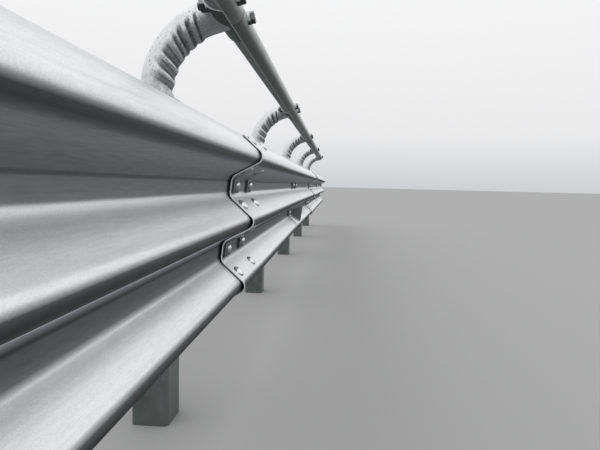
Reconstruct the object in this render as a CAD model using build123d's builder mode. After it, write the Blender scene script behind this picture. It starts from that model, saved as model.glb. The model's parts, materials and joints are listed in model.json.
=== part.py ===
import os
from math import cos, radians, sin, tan
from build123d import *

# Layout along the rail: X runs with the rail, the road lies on the -Y side, Z = 0 is ground level
post_spacing = 2000
bay_count = 6
bays_per_panel = 2
post_positions = [(i - bay_count / 2) * post_spacing for i in range(bay_count + 1)]
panel_count = bay_count // bays_per_panel
splice_spacing = bays_per_panel * post_spacing
splice_positions = [(i - panel_count / 2) * splice_spacing for i in range(1, panel_count)]
end_overhang = 160

# Post: square steel tube with a top plate welded on
post_width = 125
post_wall = 6
post_corner = 14
post_height = 1076
top_plate = 8

# Three-wave beam rolled from sheet, its top leaning toward the road
beam_height = 692
beam_lean = 7
sheet = 4
wave_pitch = 194
wave_depth = 81
crest_half_flat = 13
valley_half_flat = 27.8
bend_radius = 24
edge_reach = 59
web_run = wave_pitch / 2 - crest_half_flat - valley_half_flat
edge_depth = (edge_reach - crest_half_flat) * wave_depth / web_run
web_slope = wave_depth / (wave_depth**2 + web_run**2) ** 0.5

# Lap at a splice: the next panel lies over the one before it on the road side
lap_clearance = 0.2
lap_step = (sheet + lap_clearance) * (wave_depth**2 + web_run**2) ** 0.5 / web_run
lap_length = 2 * end_overhang
step_start = 60
step_length = 1400

# Bolt slots of the beam
column_spacing = 216
valley_slot = (32, 18)
web_slot = (30, 20)
low_slot_drop = 18
tool_depth = 30

# Spacer block: folded plate box between post and beam, its depth taken at half height
block_length = 300
block_height = 290
block_depth = 196
block_wall = 4.5
block_corner = 12
block_bolt_hole = 18
block_bolt_pitch = 160

# Round top rail with an inner sleeve at each splice
rail_diameter = 89.1
rail_wall = 5.5
rail_joint_gap = 4
sleeve_clearance = 0.3
sleeve_wall = 5
sleeve_length = 420
rail_bolt_offset = 87
rail_bolt_hole = 18
rail_bolt_tilt = 11

# Bent arm: tube on a round collar, its inner side pleated by the bending
collar_diameter = 114
collar_thickness = 10
arm_diameter = 101.6
arm_wall = 4.5
arm_bend_radius = 248
arm_bend_angle = 73
arm_foot = 4
arm_reach = 52
pleat_count = 6
pleat_start = 5.5
pleat_pitch = 10
pleat_crest_share = 0.62
pleat_height = 5.4

# Saddle: half-round trough welded on the arm's end, the top rail lies in it
saddle_length = 313
saddle_thickness = 6
saddle_wrap = 170
saddle_corner = 22
saddle_clearance = 0.2
arm_end_gap = 16

# Delineator in the lower valley at the middle post
marker_outer_height = 108
marker_inner_height = 40
marker_depth = 73
marker_thickness = 8
marker_proud = 8
marker_corner = 5
bracket_sheet = 3
bracket_width = 30
flange_length = 105

# Places that several pieces share
post_face = -post_width / 2
lean = radians(beam_lean)
inward = Vector(0, cos(lean), sin(lean))
upward = Vector(0, -sin(lean), cos(lean))
valley_back = wave_depth + sheet
block_centre_height = beam_height + valley_back * sin(lean)
block_top = block_centre_height + block_height / 2
block_bottom = block_centre_height - block_height / 2
front_slope = tan(lean)
block_front_mid = post_face - block_depth
block_front_rake = front_slope * block_height / 2
beam_origin = Vector(0, block_front_mid, block_centre_height) - inward * valley_back
collar_base = post_height
arm_base = collar_base + collar_thickness
bend_base = arm_base + arm_foot
bend = radians(arm_bend_angle)
arm_end = Vector(
    0,
    -arm_bend_radius * (1 - cos(bend)),
    bend_base + arm_bend_radius * sin(bend),
)
arm_direction = Vector(0, -sin(bend), cos(bend))
saddle_inner = rail_diameter / 2 + saddle_clearance
saddle_outer = saddle_inner + saddle_thickness
rail_centre = arm_end + arm_direction * (saddle_outer + arm_end_gap)
bolt_tilt = radians(rail_bolt_tilt)
rail_bolt_plane = Plane(
    origin=rail_centre,
    x_dir=(1, 0, 0),
    z_dir=(0, -cos(bolt_tilt), sin(bolt_tilt)),
)


def beam_plane(x, along_wave=0.0, depth=0.0):
    """Section plane of the beam at x: its x axis points away from the road, its y axis up the beam."""
    origin = beam_origin + inward * depth + upward * along_wave + Vector(x, 0, 0)
    return Plane(origin=origin, x_dir=inward, z_dir=(1, 0, 0))


os.makedirs("parts", exist_ok=True)

# Post
with BuildPart() as post:
    with BuildSketch():
        RectangleRounded(post_width, post_width, post_corner)
        RectangleRounded(
            post_width - 2 * post_wall,
            post_width - 2 * post_wall,
            post_corner - post_wall,
            mode=Mode.SUBTRACT,
        )
    extrude(amount=post_height - top_plate)
    with BuildSketch(Plane.XY.offset(post_height - top_plate)):
        RectangleRounded(post_width, post_width, post_corner)
    extrude(amount=top_plate)
    with BuildSketch(Plane.XZ.offset(-post_face)):
        with Locations((0, block_centre_height)):
            with GridLocations(0, block_bolt_pitch, 1, 2):
                Circle(block_bolt_hole / 2)
    extrude(amount=-post_wall, mode=Mode.SUBTRACT)

# Spacer block, its front face leaning with the beam
with BuildPart() as spacer_block:
    with BuildSketch(Plane.YZ.offset(-block_length / 2)):
        with BuildLine():
            Polyline(
                (post_face, block_bottom),
                (post_face, block_top),
                (block_front_mid - block_front_rake, block_top),
                (block_front_mid + block_front_rake, block_bottom),
                close=True,
            )
        make_face()
    extrude(amount=block_length)
    upright_edges = spacer_block.edges().filter_by(lambda e: abs(e.tangent_at(0.5).Z) > 0.9)
    fillet(upright_edges, block_corner)
    open_ends = spacer_block.faces().filter_by(Axis.Z)
    offset(amount=-block_wall, openings=open_ends)
    with BuildSketch(Plane.XZ.offset(-post_face - block_wall)):
        with Locations((0, block_centre_height)):
            with GridLocations(0, block_bolt_pitch, 1, 2):
                Circle(block_bolt_hole / 2)
    extrude(amount=3 * block_wall, both=True, mode=Mode.SUBTRACT)
    for side in (-0.5, 0.5):
        with BuildSketch(Plane(origin=beam_plane(0, side * wave_pitch, valley_back).origin,
                               x_dir=(1, 0, 0), z_dir=inward)):
            with GridLocations(column_spacing, 0, 2, 1):
                SlotOverall(*valley_slot)
        extrude(amount=2 * block_wall, both=True, mode=Mode.SUBTRACT)


def wave_outline():
    """Corner points of the road-side face of the beam, from its lower edge to its upper edge."""
    points = [(edge_depth, -wave_pitch - edge_reach)]
    for crest in (-wave_pitch, 0, wave_pitch):
        points.append((0, crest - crest_half_flat))
        points.append((0, crest + crest_half_flat))
        if crest < wave_pitch:
            points.append((wave_depth, crest + wave_pitch / 2 - valley_half_flat))
            points.append((wave_depth, crest + wave_pitch / 2 + valley_half_flat))
    points.append((edge_depth, wave_pitch + edge_reach))
    return points


def beam_section(plane):
    """Sheet profile of the beam as a sketch on the given plane."""
    with BuildSketch(plane) as section:
        with BuildLine():
            FilletPolyline(*wave_outline(), radius=bend_radius)
            offset(amount=sheet, side=Side.RIGHT)
        make_face()
    return section.sketch


# Beam panels
for number in range(1, panel_count + 1):
    panel_start = -bay_count / 2 * post_spacing + (number - 1) * splice_spacing - end_overhang
    panel_length = splice_spacing + 2 * end_overhang
    with BuildPart() as beam_panel:
        if number == 1:
            extrude(beam_section(beam_plane(panel_start)), amount=panel_length)
        else:
            outer_length = lap_length + step_start
            step_begin = panel_start + outer_length
            step_end = step_begin + step_length
            outer_section = beam_section(beam_plane(panel_start, depth=-lap_step))
            extrude(outer_section, amount=outer_length)
            step_section = beam_section(beam_plane(step_begin, depth=-lap_step))
            step = Vector(step_length, 0, 0) + inward * lap_step
            extrude(step_section, amount=step.length, dir=step.normalized())
            rear_section = beam_section(beam_plane(step_end))
            extrude(rear_section, amount=panel_start + panel_length - step_end)
        for bay in range(bays_per_panel + 1):
            slot_x = panel_start + end_overhang + bay * post_spacing
            for side in (-0.5, 0.5):
                slot_plane = Plane(
                    origin=beam_plane(slot_x, side * wave_pitch, wave_depth).origin,
                    x_dir=(1, 0, 0),
                    z_dir=inward,
                )
                with BuildSketch(slot_plane):
                    with GridLocations(column_spacing, 0, 2, 1):
                        SlotOverall(*valley_slot)
                extrude(amount=tool_depth, both=True, mode=Mode.SUBTRACT)
            if bay % bays_per_panel == 0:
                for crest in (-1, 0, 1):
                    for side in (-1, 1):
                        lowest_rise = crest == -1 and side == 1
                        drop = low_slot_drop if lowest_rise else 0
                        drop_run = drop * (1 - web_slope**2) ** 0.5
                        web_place = crest * wave_pitch + side * (crest_half_flat + web_run / 2 - drop_run)
                        web_normal = inward * (1 - web_slope**2) ** 0.5 - upward * side * web_slope
                        slot_depth = wave_depth / 2 - drop * web_slope
                        slot_plane = Plane(
                            origin=beam_plane(slot_x, web_place, slot_depth).origin,
                            x_dir=(1, 0, 0),
                            z_dir=web_normal,
                        )
                        with BuildSketch(slot_plane):
                            with GridLocations(column_spacing, 0, 2, 1):
                                SlotOverall(*web_slot)
                        extrude(amount=tool_depth / 2, both=True, mode=Mode.SUBTRACT)
    beam_panel.part.label = f"beam_panel_{number}"
    export_step(beam_panel.part, f"parts/beam_panel_{number}.step")

# Posts and spacer blocks along the rail
for number, x in enumerate(post_positions, start=1):
    placed_post = post.part.moved(Location((x, 0, 0)))
    placed_post.label = f"post_{number}"
    export_step(placed_post, f"parts/post_{number}.step")
    placed_block = spacer_block.part.moved(Location((x, 0, 0)))
    placed_block.label = f"spacer_block_{number}"
    export_step(placed_block, f"parts/spacer_block_{number}.step")

# Top rail: one tube per beam panel, its joints at the splices
rail_starts = [post_positions[0] - end_overhang] + [x + rail_joint_gap / 2 for x in splice_positions]
rail_ends = [x - rail_joint_gap / 2 for x in splice_positions] + [post_positions[-1] + end_overhang]
for number, (start, end) in enumerate(zip(rail_starts, rail_ends), start=1):
    with BuildPart() as top_rail:
        with BuildSketch(Plane.YZ.offset(start)):
            with Locations((rail_centre.Y, rail_centre.Z)):
                Circle(rail_diameter / 2)
                Circle(rail_diameter / 2 - rail_wall, mode=Mode.SUBTRACT)
        extrude(amount=end - start)
        hole_positions = [
            (x + side * rail_bolt_offset, 0)
            for x in post_positions
            for side in (-1, 1)
            if start < x + side * rail_bolt_offset < end
        ]
        with BuildSketch(rail_bolt_plane):
            with Locations(*hole_positions):
                Circle(rail_bolt_hole / 2)
        extrude(amount=rail_diameter, both=True, mode=Mode.SUBTRACT)
    top_rail.part.label = f"top_rail_{number}"
    export_step(top_rail.part, f"parts/top_rail_{number}.step")

# Inner sleeves of the top rail
for number, x in enumerate(splice_positions, start=1):
    with BuildPart() as rail_sleeve:
        with BuildSketch(Plane.YZ.offset(x - sleeve_length / 2)):
            with Locations((rail_centre.Y, rail_centre.Z)):
                sleeve_radius = rail_diameter / 2 - rail_wall - sleeve_clearance
                Circle(sleeve_radius)
                Circle(sleeve_radius - sleeve_wall, mode=Mode.SUBTRACT)
        extrude(amount=sleeve_length)
        with BuildSketch(rail_bolt_plane):
            with Locations((x, 0)):
                with GridLocations(2 * rail_bolt_offset, 0, 2, 1):
                    Circle(rail_bolt_hole / 2)
        extrude(amount=rail_diameter, both=True, mode=Mode.SUBTRACT)
    rail_sleeve.part.label = f"rail_sleeve_{number}"
    export_step(rail_sleeve.part, f"parts/rail_sleeve_{number}.step")

# Round collar between post and arm
with BuildPart() as arm_collar:
    with BuildSketch(Plane.XY.offset(collar_base)):
        Circle(collar_diameter / 2)
        Circle(arm_diameter / 2 - arm_wall, mode=Mode.SUBTRACT)
    extrude(amount=collar_thickness)
    top_rim = arm_collar.edges().filter_by(GeomType.CIRCLE).group_by(Axis.Z)[-1].sort_by(SortBy.RADIUS)[-1]
    chamfer(top_rim, 3)


def bend_plane(angle):
    """Section plane of the arm at a bend angle in degrees: its y axis points at the bend's inner side."""
    turn = radians(angle)
    origin = Vector(
        0,
        -arm_bend_radius * (1 - cos(turn)),
        bend_base + arm_bend_radius * sin(turn),
    )
    return Plane(origin=origin, x_dir=(-1, 0, 0), z_dir=(0, -sin(turn), cos(turn)))


def arm_ring(angle, swell=0.0):
    """Outline of the arm at a bend angle, swollen by twice the given amount on the inner side only."""
    with BuildSketch(bend_plane(angle)) as ring:
        with Locations((0, swell)):
            Circle(arm_diameter / 2 + swell)
    return ring.sketch


# Bent arm, the sheet of its inner side gathered in pleats
with BuildPart() as bent_arm:
    rings = [arm_ring(0)]
    for pleat in range(pleat_count):
        pleat_base = pleat_start + pleat * pleat_pitch
        rings.append(arm_ring(pleat_base))
        rings.append(arm_ring(pleat_base + pleat_crest_share * pleat_pitch, pleat_height / 2))
    rings.append(arm_ring(pleat_start + pleat_count * pleat_pitch))
    rings.append(arm_ring(arm_bend_angle))
    for lower_ring, upper_ring in zip(rings, rings[1:]):
        loft([lower_ring, upper_ring], ruled=True)
    with BuildSketch(Plane.XY.offset(arm_base)):
        Circle(arm_diameter / 2)
    extrude(amount=arm_foot)
    with BuildSketch(bend_plane(arm_bend_angle)):
        Circle(arm_diameter / 2)
    extrude(amount=arm_reach)
    with BuildSketch(Plane.YZ.offset(-arm_diameter)):
        with Locations((rail_centre.Y, rail_centre.Z)):
            Circle(saddle_outer)
    extrude(amount=2 * arm_diameter, mode=Mode.SUBTRACT)
    with BuildSketch(Plane.XY.offset(arm_base)):
        Circle(arm_diameter / 2 - arm_wall)
    extrude(amount=arm_foot, mode=Mode.SUBTRACT)
    with BuildSketch(Plane.XY.offset(bend_base)):
        Circle(arm_diameter / 2 - arm_wall)
    revolve(
        axis=Axis((0, -arm_bend_radius, bend_base), (1, 0, 0)),
        revolution_arc=arm_bend_angle,
        mode=Mode.SUBTRACT,
    )
    with BuildSketch(bend_plane(arm_bend_angle)):
        Circle(arm_diameter / 2 - arm_wall)
    extrude(amount=2 * arm_reach, mode=Mode.SUBTRACT)

# Saddle: trough wrapped round the arm's side of the rail, its lower corners rounded off
with BuildPart() as rail_saddle:
    half_wrap = saddle_wrap / 2
    trough_plane = Plane(
        origin=rail_centre - Vector(saddle_length / 2, 0, 0),
        x_dir=-arm_direction,
        z_dir=(1, 0, 0),
    )
    with BuildSketch(trough_plane):
        with BuildLine():
            CenterArc((0, 0), saddle_outer, -half_wrap, saddle_wrap)
            offset(amount=saddle_thickness, side=Side.LEFT)
        make_face()
    extrude(amount=saddle_length)
    short_edges = rail_saddle.edges().filter_by(lambda e: abs(e.length - saddle_thickness) < 0.1)
    fillet(short_edges.sort_by(Axis.Z)[:2], saddle_corner)
    with BuildSketch(rail_bolt_plane):
        with GridLocations(2 * rail_bolt_offset, 0, 2, 1):
            Circle(rail_bolt_hole / 2)
    extrude(amount=-rail_diameter, mode=Mode.SUBTRACT)

# Collars, arms and saddles along the rail
for number, x in enumerate(post_positions, start=1):
    for piece, name in ((arm_collar, "arm_collar"), (bent_arm, "bent_arm"), (rail_saddle, "rail_saddle")):
        placed_piece = piece.part.moved(Location((x, 0, 0)))
        placed_piece.label = f"{name}_{number}"
        export_step(placed_piece, f"parts/{name}_{number}.step")

# Delineator: upright plate on a folded bracket, held under a valley bolt
marker_plane = Plane(
    origin=beam_plane(0, -wave_pitch / 2, wave_depth).origin,
    x_dir=-inward,
    z_dir=(-1, 0, 0),
)
marker_near = wave_depth + marker_proud
marker_deep = marker_near - marker_depth
marker_flare = (marker_outer_height - marker_inner_height) / 2
flange_drop = bracket_sheet * (marker_depth**2 + marker_flare**2) ** 0.5 / marker_depth


def marker_outline(drop=0.0):
    """Trapezoid of the delineator, its lower edge moved down by the given amount."""
    return [
        (marker_deep, -marker_inner_height / 2 - drop),
        (marker_near, -marker_outer_height / 2 - drop),
        (marker_near, marker_outer_height / 2),
        (marker_deep, marker_inner_height / 2),
    ]


with BuildPart() as delineator:
    with BuildSketch(marker_plane.offset(-marker_thickness / 2)):
        with BuildLine():
            Polyline(*marker_outline(), close=True)
        make_face()
    extrude(amount=marker_thickness)
    fillet(delineator.edges().filter_by(Axis.X), marker_corner)
delineator.part.label = "delineator"
export_step(delineator.part, "parts/delineator.step")

# Bracket: strip under the bolt, backing plate and a lower flange that runs out toward traffic
with BuildPart() as delineator_bracket:
    with BuildSketch(Plane(origin=marker_plane.origin, x_dir=(1, 0, 0), z_dir=upward)):
        with BuildLine():
            bracket_back = marker_thickness / 2
            FilletPolyline(
                (column_spacing / 2 + bracket_width / 2, 0),
                (bracket_back, 0),
                (bracket_back, -marker_depth * 0.7),
                radius=bracket_sheet + 2,
            )
            offset(amount=bracket_sheet, side=Side.LEFT)
        make_face()
    extrude(amount=bracket_width / 2, both=True)
    with BuildSketch(marker_plane.offset(-bracket_back - bracket_sheet)):
        with BuildLine():
            Polyline(*marker_outline(flange_drop), close=True)
        make_face()
    extrude(amount=bracket_sheet)
    with BuildSketch(marker_plane.offset(-bracket_back - bracket_sheet)):
        with BuildLine():
            Polyline(*marker_outline(flange_drop)[:2], *reversed(marker_outline()[:2]), close=True)
        make_face()
    extrude(amount=bracket_sheet + marker_thickness + flange_length)
    with BuildSketch(Plane(origin=marker_plane.origin, x_dir=(1, 0, 0), z_dir=inward)):
        with Locations((column_spacing / 2, 0)):
            Circle(valley_slot[1] / 2)
    extrude(amount=3 * bracket_sheet, both=True, mode=Mode.SUBTRACT)
delineator_bracket.part.label = "delineator_bracket"
export_step(delineator_bracket.part, "parts/delineator_bracket.step")
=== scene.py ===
import json
from math import atan2, cos, hypot, pi, radians, sin
from random import Random

import bmesh
import bpy
from mathutils import Matrix, Vector


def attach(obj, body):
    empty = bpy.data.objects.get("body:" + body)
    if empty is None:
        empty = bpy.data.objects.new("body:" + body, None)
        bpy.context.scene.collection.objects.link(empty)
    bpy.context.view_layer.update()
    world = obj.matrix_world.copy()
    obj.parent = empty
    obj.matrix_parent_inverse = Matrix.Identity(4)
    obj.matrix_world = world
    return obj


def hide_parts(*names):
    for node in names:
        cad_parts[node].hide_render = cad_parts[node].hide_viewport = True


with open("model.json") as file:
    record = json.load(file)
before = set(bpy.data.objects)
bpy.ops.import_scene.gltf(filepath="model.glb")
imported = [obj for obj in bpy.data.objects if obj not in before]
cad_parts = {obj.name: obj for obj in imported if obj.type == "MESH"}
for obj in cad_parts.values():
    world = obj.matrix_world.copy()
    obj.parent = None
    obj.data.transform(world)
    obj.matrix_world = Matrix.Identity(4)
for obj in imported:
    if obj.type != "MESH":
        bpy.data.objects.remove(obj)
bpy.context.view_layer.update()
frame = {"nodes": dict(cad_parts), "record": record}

# Posts and spacer blocks: square steel tubes driven at two-metre spacing, with a plate welded on top,
# and folded plate boxes bolted to their road side. Both are hot-dip galvanised after welding; the coat is
# a little blotchy and has a dark tone that is painted shade.
post_spacing = 2.0
post_lines = [step * post_spacing for step in range(-3, 4)]
smudge_tone = (0.16, 0.17, 0.17, 1)


def tone_ramp(tree, value, stops):
    """Colour ramp on a value, through the given places and tones; a plain number is a grey."""
    ramp = tree.nodes.new("ShaderNodeValToRGB")
    while len(ramp.color_ramp.elements) < len(stops):
        ramp.color_ramp.elements.new(0.5)
    for element, (position, tone) in zip(ramp.color_ramp.elements, stops):
        element.position = position
        element.color = (*tone, 1) if isinstance(tone, tuple) else (tone, tone, tone, 1)
    tree.links.new(value, ramp.inputs["Fac"])
    return ramp.outputs["Color"]


def spread_noise(tree, place, scales, size, detail):
    """Noise of a given patch size, drawn out along the axes by the scales."""
    stretch = tree.nodes.new("ShaderNodeMapping")
    stretch.inputs["Scale"].default_value = scales
    tree.links.new(place, stretch.inputs["Vector"])
    noise = tree.nodes.new("ShaderNodeTexNoise")
    noise.inputs["Scale"].default_value = 1 / size
    noise.inputs["Detail"].default_value = detail
    noise.inputs["Roughness"].default_value = 0.6
    tree.links.new(stretch.outputs["Vector"], noise.inputs["Vector"])
    return noise.outputs["Fac"]


def blend(tree, share, under, over, mode="MIX"):
    """Mix two colours by a share; a colour that is a plain tuple is set on the socket."""
    mix = tree.nodes.new("ShaderNodeMix")
    mix.data_type = "RGBA"
    mix.blend_type = mode
    for socket, value in (("Factor", share), ("A", under), ("B", over)):
        target = next(entry for entry in mix.inputs if entry.enabled and entry.name == socket)
        if isinstance(value, (float, tuple)):
            target.default_value = value
        else:
            tree.links.new(value, target)
    return next(entry for entry in mix.outputs if entry.enabled)


def tint(tree, tone, factor):
    """Multiply a tone by a factor."""
    return blend(tree, 1.0, tone, factor, "MULTIPLY")


def remap(tree, value, source, target, shape="SMOOTHSTEP"):
    """Carry a value from one range into another, with both ends held."""
    reach = tree.nodes.new("ShaderNodeMapRange")
    reach.interpolation_type = shape
    for socket, number in zip(("From Min", "From Max", "To Min", "To Max"), (*source, *target)):
        reach.inputs[socket].default_value = number
    tree.links.new(value, reach.inputs["Value"])
    return reach.outputs["Result"]


def reckon(tree, operation, *terms):
    """One step of arithmetic; a term that is a plain number is set on its socket."""
    step = tree.nodes.new("ShaderNodeMath")
    step.operation = operation
    for socket, term in zip(step.inputs, terms):
        if isinstance(term, (int, float)):
            socket.default_value = term
        else:
            tree.links.new(term, socket)
    return step.outputs["Value"]


def depth_behind(tree, place, origin, direction):
    """Depth of a point behind a plane."""
    shift = tree.nodes.new("ShaderNodeVectorMath")
    shift.operation = "SUBTRACT"
    shift.inputs[1].default_value = origin
    tree.links.new(place, shift.inputs[0])
    depth = tree.nodes.new("ShaderNodeVectorMath")
    depth.operation = "DOT_PRODUCT"
    depth.inputs[1].default_value = direction
    tree.links.new(shift.outputs["Vector"], depth.inputs[0])
    return depth.outputs["Value"]


def smudged(tree, place, coat, strength):
    """Dark smudges on a coat, clustered in scattered zones."""
    mark = remap(tree, spread_noise(tree, place, (1, 1, 0.55), 0.006, 3), (0.56, 0.66), (0, 1))
    zone = remap(tree, spread_noise(tree, place, (1, 1, 1), 0.05, 2), (0.36, 0.6), (0.15, strength))
    return blend(tree, reckon(tree, "MULTIPLY", mark, zone), coat, smudge_tone)


def shade_film_share(tree, place, turns, recess, climb, mottle, ends, fold_shade):
    """Share of the dark film, painted shade with some road film: by the turn of the side, height, valleys
    and folds, with its own share at cut ends.
    """
    form = tree.nodes.new("ShaderNodeNewGeometry")
    split = tree.nodes.new("ShaderNodeSeparateXYZ")
    tree.links.new(form.outputs["Normal"], split.inputs["Vector"])
    upturn = split.outputs["Z"]
    facing_light = upturn
    # Height lifts the film off the higher parts, so lower parts are darker.
    if climb:
        low, high, lift = climb
        height = depth_behind(tree, place, (0, 0, 0), (0, 0, 1))
        facing_light = reckon(tree, "ADD", facing_light, remap(tree, height, (low, high), (0, lift)))
    if mottle:
        patches = remap(tree, spread_noise(tree, place, (1, 1, 1), 0.02, 4), (0.3, 0.7), (-1, 1))
        facing_light = reckon(tree, "MULTIPLY_ADD", patches, mottle, facing_light)
    # By the turn of the side: painted shade on the sides turned down.
    stops = [((facing + 1) / 4, film) for facing, film in turns]
    share = tone_ramp(tree, remap(tree, facing_light, (-1, 3), (0, 1), "LINEAR"), stops)
    # Painted shade deep in recesses, on the sides turned down.
    if recess:
        origin, direction, reach, most, shaded_share = recess
        deep = remap(tree, depth_behind(tree, place, origin, direction), reach, (0, most))
        turned_down = remap(tree, upturn, (0.25, -0.1), (0, 1))
        sunk = reckon(tree, "MULTIPLY", deep, turned_down)
        share = blend(tree, sunk, share, (shaded_share, shaded_share, shaded_share, 1))
    if ends is not None:
        cut = remap(tree, reckon(tree, "ABSOLUTE", split.outputs["X"]), (0.6, 0.9), (0, 1))
        share = blend(tree, cut, share, (ends, ends, ends, 1))
    # Painted shade in the folds of the pleats, from a mark on the mesh.
    if fold_shade:
        folds = tree.nodes.new("ShaderNodeAttribute")
        folds.attribute_name = "fold_shade"
        shaded_share = remap(tree, folds.outputs["Fac"], (0, 1), (0, fold_shade))
        share = reckon(tree, "MAXIMUM", shaded_share, share)
    return share


def strip_tones(tree, level, pitch, stops):
    """Tones across one pitch of the strips."""
    return tone_ramp(tree, level, [(at / pitch, tone) for at, tone in stops])


def zinc_coat(
    name, dull, bright, grain, cloud_size, roughness, metallic, smudges=0.0,
    shade_film_tone=None, turns=(), recess=None, climb=None, ends=None, mottle=0.0, fold_shade=0.0,
    strips=None, coat_strips=(), shade_film_strips=(), rise_strips=(),
):
    """Galvanised surface: cloudy tones, streaks and dark smudges, with a share of dark film on top, which is
    painted shade with some road film.

    Strips give an origin, a direction and a pitch. Along them the film and the coat change their tone by the
    film and coat strip tables, again at every pitch, in bands of painted shade and painted highlight. The
    film also changes with height, by the rise strip table.
    """
    material = bpy.data.materials.new(name)
    material.use_nodes = True
    tree = material.node_tree
    shader = tree.nodes["Principled BSDF"]
    place = tree.nodes.new("ShaderNodeTexCoord").outputs["Object"]
    cloud = spread_noise(tree, place, [step**0.5 for step in grain], cloud_size, 4)
    streak = spread_noise(tree, place, grain, cloud_size / 22, 3)
    crystal = spread_noise(tree, place, (1, 1, 1), 0.0022, 1)
    coat = tone_ramp(tree, cloud, [(0.34, dull), (0.66, bright)])
    coat = tint(tree, coat, remap(tree, streak, (0.3, 0.7), (0.95, 1.03)))
    coat = tint(tree, coat, remap(tree, crystal, (0.3, 0.7), (0.95, 1.05)))
    if smudges:
        coat = smudged(tree, place, coat, smudges)
    if shade_film_tone:
        # The dark film is painted shade with some road film.
        share = shade_film_share(tree, place, turns, recess, climb, mottle, ends, fold_shade)
        film = (*shade_film_tone, 1)
        if mottle:
            stain_and_shade = spread_noise(tree, place, (1, 1, 1), 0.014, 4)
            film = tint(tree, film, remap(tree, stain_and_shade, (0.35, 0.65), (0.55, 1.7)))
        if strips:
            origin, direction, pitch = strips
            run = reckon(tree, "WRAP", depth_behind(tree, place, origin, direction), pitch, 0)
            level = remap(tree, run, (0, pitch), (0, 1), "LINEAR")
            film = tint(tree, film, strip_tones(tree, level, pitch, shade_film_strips))
            film = tint(tree, film, remap(tree, streak, (0.3, 0.7), (0.9, 1.1)))
            if coat_strips:
                coat = tint(tree, coat, strip_tones(tree, level, pitch, coat_strips))
        if rise_strips:
            height = depth_behind(tree, place, (0, 0, 0), (0, 0, 1))
            film = tint(tree, film, tone_ramp(tree, height, rise_strips))
        coat = blend(tree, share, coat, film)
        tree.links.new(remap(tree, share, (0, 1), (metallic, 0.1)), shader.inputs["Metallic"])
        shader.inputs["Specular IOR Level"].default_value = 0.15
        sheen = remap(tree, share, (0, 1), (roughness, roughness + 0.25))
    else:
        shader.inputs["Metallic"].default_value = metallic
        sheen = remap(tree, streak, (0.2, 0.8), (roughness - 0.04, roughness + 0.04))
    tree.links.new(sheen, shader.inputs["Roughness"])
    tree.links.new(coat, shader.inputs["Base Color"])
    ripple = tree.nodes.new("ShaderNodeBump")
    ripple.inputs["Strength"].default_value = 0.04
    ripple.inputs["Distance"].default_value = 0.001
    tree.links.new(streak, ripple.inputs["Height"])
    tree.links.new(ripple.outputs["Normal"], shader.inputs["Normal"])
    return material


def coat_nodes(slot_name, material):
    """Give every node of a material slot its finish."""
    for entry in frame["record"]["subparts"]:
        if entry["material_slot"] == slot_name:
            mesh = frame["nodes"][entry["node"]].data
            mesh.materials.clear()
            mesh.materials.append(material)


# The dark tone of this coat is painted shade.
post_zinc = zinc_coat(
    "post_zinc", (0.11, 0.125, 0.12), (0.18, 0.195, 0.19), (1, 1, 0.5), 0.12, 0.34, 0.45,
)
coat_nodes("post_zinc", post_zinc)

# Beam panels: three-wave sheet, cold-rolled from 4 mm steel and galvanised. Each panel spans two bays
# and its near end lies over the panel before it, so the sheet steps back by one thickness after the lap.
# A dark film, painted shade with some road film, covers the sides turned down, the valleys and the lower
# parts, in bands of painted shade and painted highlight along the wave; the cut ends stay pale as a painted
# highlight.
beam_middle = Vector((0, -0.342866, 0.692))
beam_lean = radians(7)
inward = Vector((0, cos(beam_lean), sin(beam_lean)))
upward = Vector((0, -sin(beam_lean), cos(beam_lean)))
sheet = 0.004
wave_pitch = 0.194
wave_depth = 0.081
crest_flat = 0.013
valley_flat = 0.0278
edge_reach = 0.059
web_run = wave_pitch / 2 - crest_flat - valley_flat
web_length = hypot(web_run, wave_depth)
edge_depth = (edge_reach - crest_flat) * wave_depth / web_run
bend_tangent = 0.0125
sheared_edge = 0.0009
end_overhang = 0.16
panel_length = 2 * post_spacing + 2 * end_overhang
panel_starts = [line - end_overhang for line in post_lines[0:6:2]]
lap_clearance = 0.0002
lap_step = (sheet + lap_clearance) * web_length / web_run
lap_run = 0.38
lap_lip = 0.036
lap_stand_off = 0.0055
lip_fall = 0.7
step_run = 1.4
column_offset = 0.108
valley_slot = (0.032, 0.018)
valley_plug = 0.03
web_slot = (0.030, 0.020)
web_plug = 0.014
low_slot_drop = 0.018


def beam_point(x, depth, along):
    """Point of the beam: depth behind the crests, along the leaning face from the middle crest."""
    return beam_middle + Vector((x, 0, 0)) + inward * depth + upward * along


def facing_turn(normal):
    """Rotation that stands a shape made along +Z on a face with this normal, its X along the rail."""
    side = normal.cross(Vector((1, 0, 0))).normalized()
    return Matrix((Vector((1, 0, 0)), side, normal)).transposed().to_4x4()


def object_from(bm, name, material):
    """Turn a finished bmesh into an object of the part."""
    mesh = bpy.data.meshes.new(name)
    bm.to_mesh(mesh)
    bm.free()
    mesh.materials.append(material)
    piece = bpy.data.objects.new(name, mesh)
    bpy.context.scene.collection.objects.link(piece)
    return piece


def soften(mesh, angle=35):
    """Smooth shading with the sharp edges kept."""
    mesh.shade_smooth()
    mesh.set_sharp_from_angle(angle=radians(angle))


def applied(piece):
    """Bake a piece's modifiers into its mesh."""
    bpy.context.view_layer.update()
    graph = bpy.context.evaluated_depsgraph_get()
    baked = bpy.data.meshes.new_from_object(piece.evaluated_get(graph))
    piece.modifiers.clear()
    piece.data = baked


def drawn_on(bm, edges, offset):
    """Draw a row of edges on by an offset, and return the new edges and vertices."""
    grown = bmesh.ops.extrude_edge_only(bm, edges=edges)["geom"]
    new_edges = [part for part in grown if isinstance(part, bmesh.types.BMEdge)]
    new_verts = [part for part in grown if isinstance(part, bmesh.types.BMVert)]
    bmesh.ops.translate(bm, verts=new_verts, vec=offset)
    return new_edges, new_verts


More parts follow.
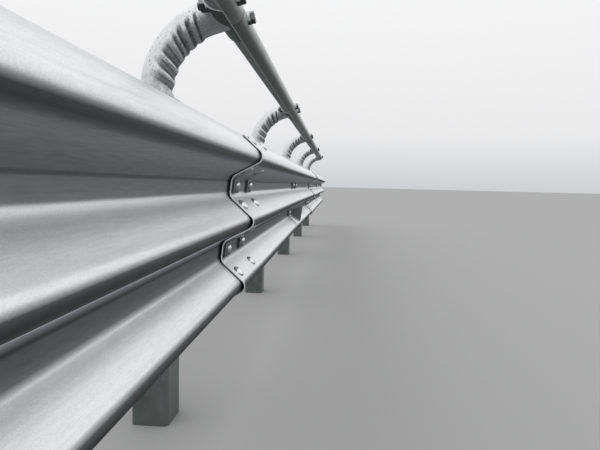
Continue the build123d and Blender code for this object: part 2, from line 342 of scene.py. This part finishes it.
def thickened(bm, sample, direction, thickness, edge_width):
    """Turn the faces so that a sample face looks along a direction, then give wall and eased rims."""
    bmesh.ops.recalc_face_normals(bm, faces=bm.faces[:])
    if sample.normal.dot(direction) < 0:
        bmesh.ops.reverse_faces(bm, faces=bm.faces[:])
    bmesh.ops.solidify(bm, geom=bm.faces[:], thickness=thickness)
    rims = [edge for edge in bm.edges if edge.calc_face_angle(0) > radians(60)]
    bmesh.ops.bevel(
        bm, geom=rims, offset=edge_width, offset_type="OFFSET",
        segments=2, profile=0.5, affect="EDGES", material=-1,
    )


def add_slot(bm, centre, normal, size, reach):
    """Closed plug in the shape of a bolt slot that runs along the rail."""
    length, width = size
    ring = bmesh.ops.create_circle(bm, cap_ends=True, segments=24, radius=width / 2)["verts"]
    for vert in ring:
        vert.co.x += (length - width) / 2 * (1 if vert.co.x > 0 else -1)
        vert.co.z = -reach
    grown = bmesh.ops.extrude_face_region(bm, geom=[ring[0].link_faces[0]])["geom"]
    top = [part for part in grown if isinstance(part, bmesh.types.BMVert)]
    bmesh.ops.translate(bm, verts=top, vec=(0, 0, 2 * reach))
    place = Matrix.Translation(centre) @ facing_turn(normal)
    bmesh.ops.transform(bm, matrix=place, verts=ring + top)


def web_seats(x):
    """Middle of each of the six webs at x, on the road side, with the direction that it faces."""
    seats = []
    for crest in (-1, 0, 1):
        for side in (-1, 1):
            drop = low_slot_drop if (crest, side) == (-1, 1) else 0
            along = crest * wave_pitch + side * (crest_flat + web_run / 2 - drop * web_run / web_length)
            facing = (-inward * web_run + upward * side * wave_depth) / web_length
            seats.append((beam_point(x, wave_depth * (0.5 - drop / web_length), along), facing))
    return seats


def cut_slots(panel, start):
    """Slots at the three posts of a panel: in both valleys, and in all the webs at its two ends."""
    plugs = bmesh.new()
    first_line = start + end_overhang
    middle_line = first_line + post_spacing
    for line in (first_line, middle_line, middle_line + post_spacing):
        for x in (line - column_offset, line + column_offset):
            for valley in (-0.5, 0.5):
                centre = beam_point(x, wave_depth, valley * wave_pitch)
                add_slot(plugs, centre, inward, valley_slot, valley_plug)
            if line != middle_line:
                for centre, facing in web_seats(x):
                    add_slot(plugs, centre, facing, web_slot, web_plug)
    bmesh.ops.recalc_face_normals(plugs, faces=plugs.faces[:])
    cutter = object_from(plugs, "slot_plugs", beam_zinc)
    cut = panel.modifiers.new("slots", "BOOLEAN")
    cut.operation = "DIFFERENCE"
    cut.object = cutter
    applied(panel)
    bpy.data.objects.remove(cutter)


def rolled_panel(number, start):
    """One beam panel: wave profile drawn along the rail, with its lap step, thickness and slots."""
    stretches = [(panel_length, 0)]
    first_depth = 0
    if number > 1:
        stretches = [
            (lap_lip / 2, lap_stand_off * lip_fall),
            (lap_lip / 2, lap_stand_off * (1 - lip_fall)),
            (lap_run - lap_lip, 0),
            (step_run, lap_step),
            (panel_length - lap_run - step_run, 0),
        ]
        first_depth = -lap_step - lap_stand_off
    corners = [(edge_depth, -wave_pitch - edge_reach)]
    for crest in (-1, 0, 1):
        corners.append((0, crest * wave_pitch - crest_flat))
        corners.append((0, crest * wave_pitch + crest_flat))
        if crest < 1:
            corners.append((wave_depth, (crest + 0.5) * wave_pitch - valley_flat))
            corners.append((wave_depth, (crest + 0.5) * wave_pitch + valley_flat))
    corners.append((edge_depth, wave_pitch + edge_reach))
    bm = bmesh.new()
    profile = [bm.verts.new(beam_point(start, depth + first_depth, along)) for depth, along in corners]
    for lower, upper in zip(profile, profile[1:]):
        bm.edges.new((lower, upper))
    bmesh.ops.bevel(
        bm, geom=profile[1:-1], offset=bend_tangent, offset_type="OFFSET",
        segments=12, profile=0.5, affect="VERTICES", material=-1,
    )
    front = bm.edges[:]
    for length, inset in stretches:
        front = drawn_on(bm, front, Vector((length, 0, 0)) + inward * inset)[0]
    near_end = beam_point(start, 0, 0)
    middle_crest = min(bm.faces, key=lambda face: (face.calc_center_median() - near_end).length)
    thickened(bm, middle_crest, -inward, sheet, sheared_edge)
    panel = object_from(bm, f"rolled_panel_{number}", beam_zinc)
    cut_slots(panel, start)
    soften(panel.data)
    return panel


# Bands of painted shade and painted highlight down the wave from the middle crest, and of the film by its
# height above the ground
beam_coat_shade_and_highlight_bands = [
    (0.115, 1.0), (0.130, 1.04), (0.138, 0.85), (0.145, 0.90), (0.153, 1.0), (0.163, 1.04),
]
beam_film_shade_and_highlight_bands = [
    (0.0, 0.14), (0.018, 0.14), (0.024, 0.5), (0.029, 1.15), (0.035, 1.25), (0.046, 1.1),
    (0.062, 0.85), (0.077, 0.6), (0.080, 0.13), (0.083, 0.13), (0.086, 0.66), (0.104, 0.74),
    (0.112, 0.9), (0.125, 1.0), (0.18, 0.3), (0.19, 0.14),
]
beam_height_shade_and_highlight_bands = [
    (0.625, 0.55), (0.641, 2.8), (0.668, 2.8), (0.681, 0.62), (0.75, 0.75), (0.80, 0.9), (0.84, 1.0),
]
# Film: painted shade on the sides turned down, in the valleys and lower down; the pale cut ends are a
# painted highlight.
beam_zinc = zinc_coat(
    "beam_zinc", (0.88, 0.89, 0.90), (0.93, 0.94, 0.95), (0.12, 1, 1), 0.11, 0.38, 0.5,
    shade_film_tone=(0.27, 0.28, 0.295), climb=(0.60, 0.90, 0.78), ends=0.0,
    turns=[(-0.5, 1.0), (0.25, 0.92), (0.45, 0.5), (0.62, 0.04), (0.70, 0.0)],
    recess=(beam_middle, inward, (0.015, 0.08), 0.9, 0.94),
    strips=(beam_middle, -upward, wave_pitch),
    coat_strips=beam_coat_shade_and_highlight_bands, shade_film_strips=beam_film_shade_and_highlight_bands, rise_strips=beam_height_shade_and_highlight_bands,
)
coat_nodes("beam_zinc", beam_zinc)
for number, start in enumerate(panel_starts, start=1):
    panel = rolled_panel(number, start)
    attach(panel, "root")
    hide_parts(f"beam_panel_{number}")

# Beam bolts: at every post four round-headed bolts of galvanised steel clamp the valleys to the spacer
# block, each on a deep rectangular washer, dark with painted shade, whose edges carry a painted
# highlight. At a splice twelve more draw the webs of both panels together.
splice_posts = (2, 4)
washer_size = (0.066, 0.043, 0.010)
washer_corner = 0.0022
washer_lift = 0.001
valley_head = (0.0135, 0.009)
valley_head_rise = 0.003
head_sink = 0.0005
web_head = (0.0195, 0.010)


def add_dome(bm, foot, normal, size):
    """Low round bolt head: the cap of a ball pressed flat."""
    radius, height = size
    ball = bmesh.ops.create_uvsphere(bm, u_segments=24, v_segments=12, radius=radius)["verts"]
    below = [vert for vert in ball if vert.co.z < -1e-6]
    kept = [vert for vert in ball if vert.co.z >= -1e-6]
    bmesh.ops.delete(bm, geom=below, context="VERTS")
    bmesh.ops.scale(bm, vec=(1, 1, height / radius), verts=kept)
    bottom = [edge for edge in bm.edges if edge.is_boundary and edge.verts[0] in kept]
    bmesh.ops.contextual_create(bm, geom=bottom)
    bmesh.ops.transform(bm, matrix=Matrix.Translation(foot) @ facing_turn(normal), verts=kept)


def add_plate(bm, foot, normal, size, corner):
    """Rectangular washer whose rounded edges take the second material, a painted highlight."""
    cube = bmesh.ops.create_cube(bm, size=1)["verts"]
    bmesh.ops.scale(bm, vec=size, verts=cube)
    edges = list({edge for vert in cube for edge in vert.link_edges})
    bevelled = bmesh.ops.bevel(
        bm, geom=edges, offset=corner, offset_type="OFFSET",
        segments=2, profile=0.5, affect="EDGES", material=1,
    )
    place = Matrix.Translation(foot + normal * size[2] / 2) @ facing_turn(normal)
    bmesh.ops.transform(bm, matrix=place, verts=bevelled["verts"])


def fastened(bm, name, finishes):
    """Finish a set of like fasteners as one piece."""
    bmesh.ops.recalc_face_normals(bm, faces=bm.faces[:])
    piece = object_from(bm, name, finishes[0])
    for finish in finishes[1:]:
        piece.data.materials.append(finish)
    soften(piece.data)
    return piece


# The film on the heads is painted shade on the sides turned down.
bolt_zinc = zinc_coat(
    "bolt_zinc", (0.80, 0.80, 0.81), (0.93, 0.93, 0.94), (1, 1, 1), 0.02, 0.2, 0.9,
    shade_film_tone=(0.12, 0.125, 0.13), turns=[(-0.5, 0.75), (0.0, 0.5), (0.25, 0.0)],
)
# Washer body: a dark tone that is painted shade.
washer_shade = zinc_coat(
    "washer_shade", (0.05, 0.055, 0.055), (0.09, 0.095, 0.095), (1, 1, 1), 0.02, 0.6, 0.2,
)
# Washer edges: a painted highlight.
washer_edge_highlight = zinc_coat(
    "washer_edge_highlight", (0.20, 0.20, 0.21), (0.30, 0.30, 0.31), (1, 1, 1), 0.01, 0.3, 0.6,
)
washers = bmesh.new()
valley_bolts = bmesh.new()
web_bolts = bmesh.new()
for post, line in enumerate(post_lines):
    spliced = post in splice_posts
    seat_depth = wave_depth - washer_lift - (lap_step if spliced else 0)
    for x in (line - column_offset, line + column_offset):
        for valley in (-0.5, 0.5):
            seat = beam_point(x, seat_depth, valley * wave_pitch)
            head = seat - inward * (washer_size[2] - head_sink) + upward * valley_head_rise
            add_plate(washers, seat, -inward, washer_size, washer_corner)
            add_dome(valley_bolts, head, -inward, valley_head)
        if spliced:
            for centre, facing in web_seats(x):
                add_dome(web_bolts, centre + facing * (sheet + lap_clearance), facing, web_head)
for bolts, name, finishes in (
    (washers, "valley_washers", (washer_shade, washer_edge_highlight)),
    (valley_bolts, "valley_bolts", (bolt_zinc,)),
    (web_bolts, "splice_bolts", (bolt_zinc,)),
):
    piece = fastened(bolts, name, finishes)
    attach(piece, "root")

# Bent arms: round steel tube pushed round a former and galvanised. The wall of the inner side gathers in
# uneven pleats. Painted shade darkens the inner side and the folds, with stains in it, and the crests
# carry a painted highlight. The foot stands on a welded collar, and the other end is coped to the back of
# the saddle.
collar_top = 1.086
arm_foot = 0.004
arm_radius = 0.0508
arm_wall = 0.0045
bend_radius = 0.248
bend_angle = radians(73)
bend_base = collar_top + arm_foot
arm_direction = Vector((0, -sin(bend_angle), cos(bend_angle)))
bend_centre = Vector((0, -bend_radius, bend_base))
arm_end = bend_centre + Vector((0, bend_radius * cos(bend_angle), bend_radius * sin(bend_angle)))
rail_radius = 0.04455
saddle_plate = 0.006
saddle_clearance = 0.0002
saddle_inner = rail_radius + saddle_clearance
saddle_outer = saddle_inner + saddle_plate
arm_end_gap = 0.016
longest_cope = 0.052
rail_centre = arm_end + arm_direction * (saddle_outer + arm_end_gap)
fold_turns = [radians(turn) for turn in (3.0, 12.6, 24.4, 36.0, 42.5, 52.7, 61.5)]
fold_leans = [0.10, 0.095, 0.075, 0.085, 0.075, 0.06, 0.045]
crest_shares = [0.76, 0.78, 0.73, 0.50, 0.50, 0.45]
pleat_height = 0.0054
pleat_reach = radians(108)
pleat_fade = radians(62)
shade_reach = [radians(90 + 6 * pleat) for pleat in range(len(crest_shares))]
shade_fade = radians(32)
crest_highlight_width = 0.22
slope_highlight = 0.4
slope_edge = 0.2


def eased(share):
    """Smooth step from 0 to 1, with both ends held."""
    held = min(1, max(0, share))
    return held * held * (3 - 2 * held)


def gather_pleats(bm, number):
    """Swell the inner wall of a bent tube in its own uneven pleats, and mark painted shade in the folds,
    with painted highlights on the crests.
    """
    dice = Random(40 + number)
    creases = [turn + radians(dice.uniform(-0.4, 0.4)) for turn in fold_turns]
    crests = [share + dice.uniform(-0.03, 0.03) for share in crest_shares]
    swells = [pleat_height * dice.uniform(0.85, 1.15) for share in crest_shares]
    leans = [lean + dice.uniform(-0.015, 0.015) for lean in fold_leans]
    highlight_strengths = [1, 1] + [dice.uniform(0.85, 1.0) for share in crest_shares[2:]]
    # Mark of painted shade in the folds, lightened by painted highlights on the crests.
    fold_shade = bm.verts.layers.float.new("fold_shade")
    for vert in bm.verts:
        outward = vert.co - bend_centre
        turn = atan2(outward.z, outward.y)
        if not 0 < turn < bend_angle + 0.001:
            continue
        axis_point = bend_centre + Vector((0, bend_radius * cos(turn), bend_radius * sin(turn)))
        radial = vert.co - axis_point
        around = radial.angle(bend_centre - axis_point)
        for pleat, crest in enumerate(crests):
            low = creases[pleat] + leans[pleat] * around
            high = creases[pleat + 1] + leans[pleat + 1] * around
            if low <= turn < high:
                part = (turn - low) / (high - low)
                rise = part / crest if part < crest else (1 - part) / (1 - crest)
                swell = swells[pleat] * sin(pi / 2 * rise)
                vert.co += radial.normalized() * swell * eased((pleat_reach - around) / pleat_fade)
                crest_highlight = min(1, max(0, 2.2 - 2.2 * ((part - crest) / crest_highlight_width) ** 2))
                if part < crest - slope_edge:
                    crest_highlight = slope_highlight * sin(pi * part / (crest - slope_edge))
                stain_and_shade = eased((shade_reach[pleat] - around) / shade_fade)
                vert[fold_shade] = stain_and_shade * (1 - crest_highlight * highlight_strengths[pleat])


def pleated_arm(number, line):
    """Bent tube with its own set of pleats, coped to the back of the saddle."""
    bm = bmesh.new()
    ring = bmesh.ops.create_circle(bm, segments=56, radius=arm_radius)["verts"]
    bmesh.ops.translate(bm, verts=ring, vec=(0, 0, collar_top))
    edges, verts = drawn_on(bm, bm.edges[:], (0, 0, arm_foot))
    spun = bmesh.ops.spin(
        bm, geom=verts + edges, cent=bend_centre, axis=(1, 0, 0), dvec=(0, 0, 0),
        angle=bend_angle, steps=96, use_merge=False, use_duplicate=False,
    )["geom_last"]
    last_edges = [part for part in spun if isinstance(part, bmesh.types.BMEdge)]
    coped = drawn_on(bm, last_edges, (0, 0, 0))[1]
    for vert in coped:
        beside = vert.co - arm_end
        height = beside - arm_direction * beside.dot(arm_direction) - Vector((beside.x, 0, 0))
        trough = (saddle_outer**2 - min(height.length, saddle_outer) ** 2) ** 0.5
        vert.co += arm_direction * min(saddle_outer + arm_end_gap - trough, longest_cope)
    gather_pleats(bm, number)
    bmesh.ops.translate(bm, verts=bm.verts[:], vec=(line, 0, 0))
    bmesh.ops.recalc_face_normals(bm, faces=bm.faces[:])
    arm = object_from(bm, f"pleated_arm_{number}", arm_zinc)
    wall = arm.modifiers.new("tube wall", "SOLIDIFY")
    wall.thickness = arm_wall
    wall.offset = -1
    applied(arm)
    soften(arm.data, 50)
    return arm


# Film: painted shade on the inner side turned down, and in the folds.
arm_zinc = zinc_coat(
    "arm_zinc", (0.76, 0.77, 0.78), (0.86, 0.87, 0.88), (1, 1, 1), 0.05, 0.34, 0.7, smudges=0.75,
    shade_film_tone=(0.075, 0.08, 0.08), turns=[(-0.9, 0.58), (-0.4, 0.56), (-0.15, 0.34), (0.08, 0.0)],
    mottle=0.12, fold_shade=0.96,
)
coat_nodes("arm_zinc", arm_zinc)
for number, line in enumerate(post_lines, start=1):
    arm = pleated_arm(number, line)
    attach(arm, "root")
    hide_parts(f"bent_arm_{number}")

# Weld beads: a steel fillet weld joins the arm's foot to its collar all round and is galvanised with the
# arm. The ripples of the weld show as a row of small round beads.
bead_count = 40
bead_radius = 0.0055
bead_height = 0.001
weld_beads = bmesh.new()
for line in post_lines:
    for bead in range(bead_count):
        turn = 2 * pi * bead / bead_count
        spot = Vector((line + arm_radius * cos(turn), arm_radius * sin(turn), collar_top + bead_height))
        drop = bmesh.ops.create_icosphere(weld_beads, subdivisions=1, radius=bead_radius)["verts"]
        bmesh.ops.translate(weld_beads, verts=drop, vec=spot)
welds = object_from(weld_beads, "arm_welds", arm_zinc)
soften(welds.data, 60)
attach(welds, "root")

# Saddles: half-round troughs pressed from 6 mm steel plate and welded on the coped end of each arm. The
# rail lies in the trough, whose lower corners are rounded off. Painted shade darkens the sides turned
# down, and the cut ends stay pale as a painted highlight.
saddle_length = 0.313
saddle_corner = 0.022
half_wrap = radians(85)
press_steps = 36
worn_edge = 0.0012


def pressed_saddle(number, line):
    """Flat plate with two rounded corners, wrapped round the rail and given its thickness."""
    bm = bmesh.new()
    half = saddle_length / 2
    outline = [(-half, -half_wrap), (half, -half_wrap), (half, half_wrap), (-half, half_wrap)]
    verts = [bm.verts.new((x, angle * saddle_inner, 0)) for x, angle in outline]
    bm.faces.new(verts)
    bmesh.ops.bevel(
        bm, geom=verts[:2], offset=saddle_corner, offset_type="OFFSET",
        segments=6, profile=0.5, affect="VERTICES", material=-1,
    )
    for step in range(1, press_steps):
        height = (-half_wrap + 2 * half_wrap * step / press_steps) * saddle_inner
        bmesh.ops.bisect_plane(
            bm, geom=bm.verts[:] + bm.edges[:] + bm.faces[:], dist=1e-6,
            plane_co=(0, height, 0), plane_no=(0, 1, 0),
        )
    back = -arm_direction
    rise = Vector((1, 0, 0)).cross(back)
    trough_centre = rail_centre + Vector((line, 0, 0))
    for vert in bm.verts:
        angle = vert.co.y / saddle_inner
        around = (back * cos(angle) + rise * sin(angle)) * saddle_inner
        vert.co = trough_centre + Vector((vert.co.x, 0, 0)) + around
    bmesh.ops.recalc_face_normals(bm, faces=bm.faces[:])
    sample = max(bm.faces, key=lambda face: face.calc_area())
    if sample.normal.dot(sample.calc_center_median() - trough_centre) > 0:
        bmesh.ops.reverse_faces(bm, faces=bm.faces[:])
    saddle = object_from(bm, f"pressed_saddle_{number}", saddle_zinc)
    wall = saddle.modifiers.new("plate", "SOLIDIFY")
    wall.thickness = saddle_plate
    wall.offset = -1
    edge = saddle.modifiers.new("worn edges", "BEVEL")
    edge.width = worn_edge
    edge.segments = 2
    edge.limit_method = "ANGLE"
    edge.angle_limit = radians(50)
    applied(saddle)
    soften(saddle.data, 40)
    return saddle


# Film: painted shade on the sides turned down; the cut ends stay pale as a painted highlight.
saddle_zinc = zinc_coat(
    "saddle_zinc", (0.60, 0.62, 0.62), (0.76, 0.78, 0.78), (1, 1, 1), 0.04, 0.34, 0.7,
    shade_film_tone=(0.055, 0.07, 0.062), turns=[(-0.7, 0.96), (-0.1, 0.75), (0.3, 0.1)], ends=0.0,
)
for number, line in enumerate(post_lines, start=1):
    saddle = pressed_saddle(number, line)
    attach(saddle, "root")
    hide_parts(f"rail_saddle_{number}")

# Top rail: one drawn steel tube for each beam panel, galvanised, with a narrow joint at each splice and a
# sleeve inside. Painted shade darkens the underside, the cut ends are darkened, and a painted highlight
# line runs along the underside.
rail_wall = 0.0055
rail_edge = 0.001
rail_joint_gap = 0.004
rail_breaks = [post_lines[post] for post in splice_posts]
rail_starts = [post_lines[0] - end_overhang] + [line + rail_joint_gap / 2 for line in rail_breaks]
rail_stops = [line - rail_joint_gap / 2 for line in rail_breaks] + [post_lines[-1] + end_overhang]
# A painted highlight line along the underside of the tube.
rail_highlight_bands = [(0.0, 1.0), (0.0325, 1.0), (0.035, 3.4), (0.0395, 3.4), (0.042, 1.9), (0.089, 1.9)]
# Film: painted shade on the underside.
rail_zinc = zinc_coat(
    "rail_zinc", (0.46, 0.48, 0.47), (0.58, 0.60, 0.59), (0.15, 1, 1), 0.05, 0.30, 0.6,
    shade_film_tone=(0.105, 0.114, 0.112), ends=0.95,
    turns=[(-0.97, 0.85), (-0.84, 0.93), (-0.62, 0.86), (-0.38, 0.45), (-0.1, 0.15), (0.3, 0.05)],
    strips=(rail_centre - Vector((0, rail_radius, 0)), Vector((0, 1, 0)), 2 * rail_radius),
    shade_film_strips=rail_highlight_bands,
)
coat_nodes("rail_zinc", rail_zinc)
for number, (start, stop) in enumerate(zip(rail_starts, rail_stops), start=1):
    bm = bmesh.new()
    ring = bmesh.ops.create_circle(bm, segments=64, radius=rail_radius)["verts"]
    stand = Matrix.Translation(rail_centre + Vector((start, 0, 0))) @ Matrix.Rotation(pi / 2, 4, "Y")
    bmesh.ops.transform(bm, matrix=stand, verts=ring)
    drawn_on(bm, bm.edges[:], (stop - start, 0, 0))
    first = bm.faces[:][0]
    rail_middle = rail_centre + Vector(((start + stop) / 2, 0, 0))
    thickened(bm, first, first.calc_center_median() - rail_middle, rail_wall, rail_edge)
    tube = object_from(bm, f"rail_tube_{number}", rail_zinc)
    soften(tube.data)
    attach(tube, "root")
    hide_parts(f"top_rail_{number}")

# Rail bolts: two dark steel bolts at each arm go through rail and saddle, tilted a little from level. The
# hexagon head sits on a deep round washer on the road side, and the nut on a thinner one behind.
bolt_offset = 0.087
bolt_tilt = radians(11)
thread_radius = 0.0118
thread_length = 0.014
thread_start = 0.010
hexagon_across = 0.036
hexagon_chamfer = 0.14
head_height = 0.015
nut_height = 0.018
round_washer = 0.021
front_washer = 0.013
back_washer = 0.009
front_sink = 0.006  # the washers reach into the curve of rail and saddle
back_sink = 0.005


def add_hexagon(bm, foot, normal, across, height, spin):
    """Hexagon head or nut with its corners turned off."""
    ring = bmesh.ops.create_circle(bm, cap_ends=True, segments=6, radius=across / 2 / cos(pi / 6))["verts"]
    grown = bmesh.ops.extrude_face_region(bm, geom=[ring[0].link_faces[0]])["geom"]
    top = [part for part in grown if isinstance(part, bmesh.types.BMVert)]
    bmesh.ops.translate(bm, verts=top, vec=(0, 0, height))
    rim = [edge for edge in bm.edges if all(vert in top for vert in edge.verts)]
    bevelled = bmesh.ops.bevel(
        bm, geom=rim, offset=height * hexagon_chamfer, offset_type="OFFSET",
        segments=2, profile=0.5, affect="EDGES", material=-1,
    )
    shape = list({vert for vert in ring + top if vert.is_valid} | set(bevelled["verts"]))
    place = Matrix.Translation(foot) @ facing_turn(normal) @ Matrix.Rotation(spin, 4, "Z")
    bmesh.ops.transform(bm, matrix=place, verts=shape)


def add_disc(bm, foot, normal, radius, height):
    """Round washer or bolt end standing on a face."""
    disc = bmesh.ops.create_cone(
        bm, cap_ends=True, segments=24, radius1=radius, radius2=radius, depth=height,
    )["verts"]
    place = Matrix.Translation(foot + normal * height / 2) @ facing_turn(normal)
    bmesh.ops.transform(bm, matrix=place, verts=disc)


# The film is painted shade on the faces turned down, so the top facets stay lighter.
old_bolt = zinc_coat(
    "old_bolt", (0.28, 0.28, 0.285), (0.40, 0.40, 0.405), (1, 1, 1), 0.015, 0.36, 0.5,
    shade_film_tone=(0.04, 0.04, 0.043), turns=[(-0.5, 0.9), (0.1, 0.4), (0.5, 0.0)],
)
nut_dice = Random(7)
road = Vector((0, -cos(bolt_tilt), sin(bolt_tilt)))
rail_bolts = bmesh.new()
rail_washers = bmesh.new()
for line in post_lines:
    for x in (line - bolt_offset, line + bolt_offset):
        front = rail_centre + Vector((x, 0, 0)) + road * (rail_radius - front_sink)
        head = front + road * front_washer
        add_disc(rail_washers, front, road, round_washer, front_washer)
        add_hexagon(rail_bolts, head, road, hexagon_across, head_height, nut_dice.uniform(0, pi / 3))
        back = rail_centre + Vector((x, 0, 0)) - road * (saddle_outer - back_sink)
        nut = back - road * back_washer
        add_disc(rail_washers, back, -road, round_washer, back_washer)
        add_hexagon(rail_bolts, nut, -road, hexagon_across, nut_height, nut_dice.uniform(0, pi / 3))
        add_disc(rail_bolts, nut - road * thread_start, -road, thread_radius, thread_length)
for bolts, name, finish in (
    (rail_washers, "rail_washers", saddle_zinc),
    (rail_bolts, "rail_bolts", old_bolt),
):
    piece = fastened(bolts, name, (finish,))
    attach(piece, "root")

# Delineator: an upright plate of dull plastic across the lower valley, on a bracket of folded and
# galvanised strip that is held under a valley bolt. Both keep their shape and get only their finish here.
marker = bpy.data.materials.new("marker_plastic")
marker.use_nodes = True
marker.node_tree.nodes["Principled BSDF"].inputs["Base Color"].default_value = (0.15, 0.15, 0.155, 1)
marker.node_tree.nodes["Principled BSDF"].inputs["Roughness"].default_value = 0.5
coat_nodes("marker_plastic", marker)
bracket_zinc = zinc_coat(
    "bracket_zinc", (0.62, 0.63, 0.64), (0.78, 0.79, 0.80), (1, 1, 1), 0.03, 0.34, 0.5,
)
coat_nodes("bracket_zinc", bracket_zinc)

# Floor, light and camera: a pale floor that throws little light back on the part, under a soft sky that
# is brightest overhead. The camera and the shiny metal see both in pale tones of their own.
floor_half = 200
floor_lit = (0.14, 0.14, 0.14, 1)
floor_seen = (0.36, 0.36, 0.36, 1)
sky_lit = [(0.0, (0.74, 0.74, 0.75)), (0.9, (1.38, 1.38, 1.39))]
sky_seen = [(0.0, (0.62, 0.63, 0.64)), (0.1, (0.82, 0.82, 0.83)), (0.5, (0.97, 0.97, 0.98))]
camera_place = (-3.5653, -0.5941, 0.8072)
focal_px = 485.4
picture_px = 600
sensor_mm = 36
yaw = radians(4.228)
pitch = radians(4.77)
roll = radians(1.4)


def seen_share(tree):
    """1 for what the camera, gloss and glass see, 0 for the light that falls on matt surfaces."""
    path = tree.nodes.new("ShaderNodeLightPath")
    glossy = reckon(tree, "MAXIMUM", path.outputs["Is Camera Ray"], path.outputs["Is Glossy Ray"])
    return reckon(tree, "MAXIMUM", glossy, path.outputs["Is Transmission Ray"])


floor_mesh = bmesh.new()
bmesh.ops.create_grid(floor_mesh, x_segments=1, y_segments=1, size=floor_half)
floor_paint = bpy.data.materials.new("floor_paint")
floor_paint.use_nodes = True
paint = floor_paint.node_tree
matt = paint.nodes["Principled BSDF"]
paint.links.new(blend(paint, seen_share(paint), floor_lit, floor_seen), matt.inputs["Base Color"])
matt.inputs["Roughness"].default_value = 1
matt.inputs["Specular IOR Level"].default_value = 0
floor = object_from(floor_mesh, "floor", floor_paint)

world = bpy.data.worlds.new("overcast")
bpy.context.scene.world = world
world.use_nodes = True
sky = world.node_tree
where = sky.nodes.new("ShaderNodeTexCoord")
split = sky.nodes.new("ShaderNodeSeparateXYZ")
sky.links.new(where.outputs["Generated"], split.inputs["Vector"])
shining = tone_ramp(sky, split.outputs["Z"], sky_lit)
backdrop = tone_ramp(sky, split.outputs["Z"], sky_seen)
sky.links.new(blend(sky, seen_share(sky), shining, backdrop), sky.nodes["Background"].inputs["Color"])

camera_data = bpy.data.cameras.new("camera")
camera = bpy.data.objects.new("camera", camera_data)
bpy.context.scene.collection.objects.link(camera)
look = Vector((cos(yaw) * cos(pitch), sin(yaw) * cos(pitch), -sin(pitch)))
level = Vector((sin(yaw), -cos(yaw), 0))
right = Matrix.Rotation(-roll, 3, look) @ level
stance = Matrix((right, right.cross(look), -look)).transposed().to_4x4()
camera.matrix_world = Matrix.Translation(camera_place) @ stance
camera_data.sensor_width = sensor_mm
camera_data.lens = focal_px / picture_px * sensor_mm
camera_data.clip_start = 0.05
camera_data.clip_end = 500
bpy.context.scene.camera = camera
bpy.context.scene.view_settings.view_transform = "Standard"
